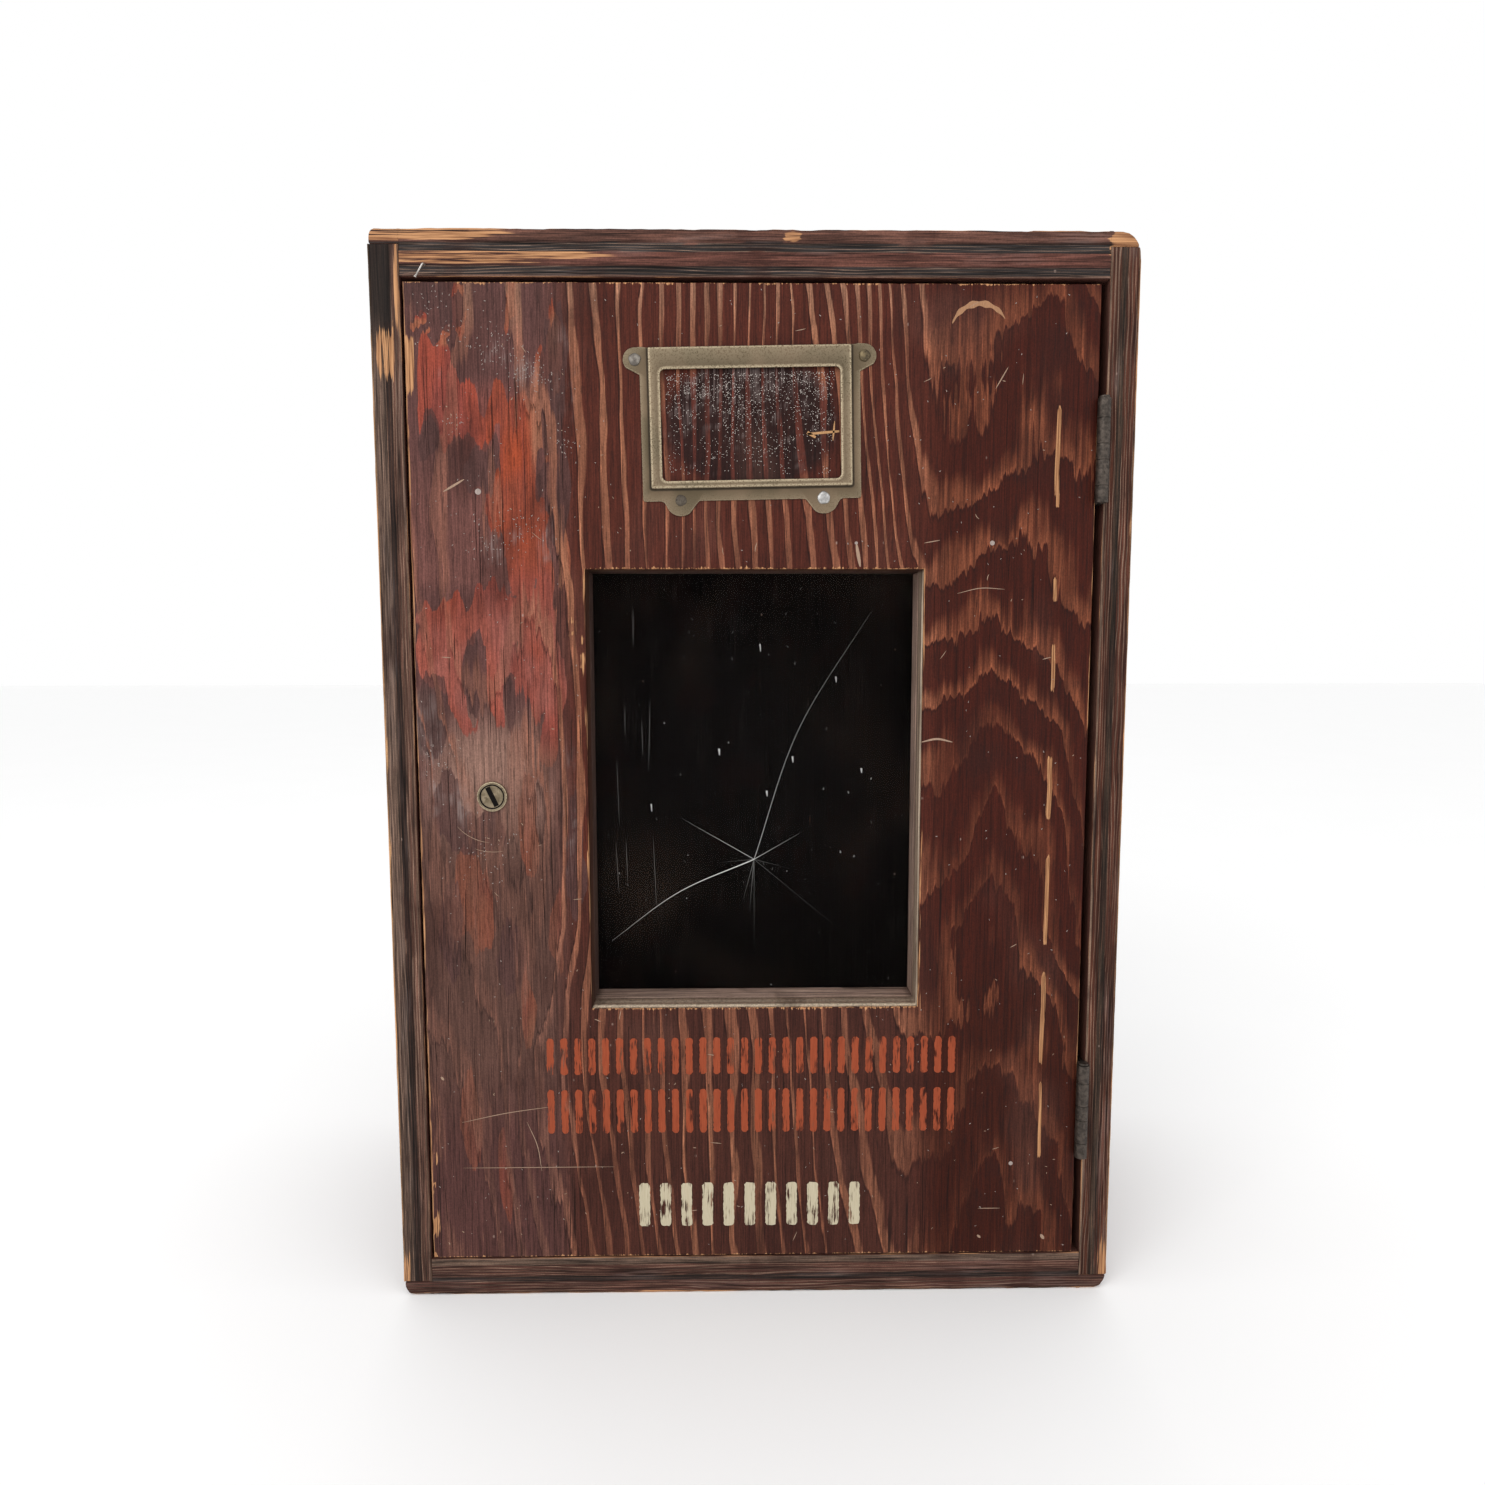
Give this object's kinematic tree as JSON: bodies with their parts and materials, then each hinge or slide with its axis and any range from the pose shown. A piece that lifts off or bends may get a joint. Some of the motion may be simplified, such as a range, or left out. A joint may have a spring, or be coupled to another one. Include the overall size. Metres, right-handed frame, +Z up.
{
  "type": "glazed wooden lock box",
  "caption": "Upright plywood lock box with an inset right-hinged door, a glazed window, a brass card holder and a cam lock; the inside is empty.",
  "frame": {"origin": "middle of the whole box in plan, on the surface it stands on", "axes": "+Z up, the door faces -Y, +X to the right as seen from the front, where the hinges are"},
  "size_m": [0.473, 0.2615, 0.6858],
  "materials": {
    "plywood": "worn dark red-brown stain over fir plywood",
    "thin_plywood": "bare aged plywood",
    "strip_wood": "dark brown stain",
    "window_glass": "clear, cracked and dusty",
    "brass": "dull aged brass",
    "nail_steel": "dull",
    "hinge_steel": "tarnished, dark",
    "screw_steel": "dull",
    "lock_brass": "dull nickelled brass",
    "lock_steel": "zinc plated"
  },
  "bodies": {
    "case": {"left_side_panel": "plywood", "right_side_panel": "plywood", "top_panel": "plywood", "bottom_panel": "plywood", "back_panel": "thin_plywood", "lock_side_stop": "strip_wood", "top_stop": "strip_wood", "bottom_stop": "strip_wood", "case_nails": "nail_steel", "back_panel_nails": "nail_steel", "stop_brads": "nail_steel", "case_hinge_screws": "screw_steel", "upper_hinge_case_leaf": "hinge_steel", "lower_hinge_case_leaf": "hinge_steel", "upper_hinge_pin": "hinge_steel", "lower_hinge_pin": "hinge_steel", "bent_nail": "nail_steel"},
    "door": {"door_panel": "plywood", "window_glass": "window_glass", "glazing_strip_top": "strip_wood", "glazing_strip_bottom": "strip_wood", "glazing_strip_left": "strip_wood", "glazing_strip_right": "strip_wood", "glazing_strip_screws": "screw_steel", "card_holder": "brass", "card_holder_nails": "nail_steel", "upper_hinge_door_leaf": "hinge_steel", "lower_hinge_door_leaf": "hinge_steel", "door_hinge_screws": "screw_steel", "lock_shell": "lock_brass", "lock_washer": "lock_steel", "lock_nut": "lock_steel"},
    "lock_plug": {"lock_plug": "lock_brass", "lock_stop_washer": "lock_steel", "lock_cam": "lock_steel", "lock_cam_screw": "lock_steel"}
  },
  "joints": [
    {"name": "door_swing", "type": "hinge", "parent": "case", "child": "door", "pos_m": [0.21495, -0.12675, 0.3], "axis": [0, 0, 1], "range_deg": [0, 170]},
    {"name": "lock_turn", "type": "hinge", "parent": "door", "child": "lock_plug", "pos_m": [-0.169, -0.12325, 0.3375], "axis": [0, 1, 0], "range_deg": [0, 90]}
  ]
}
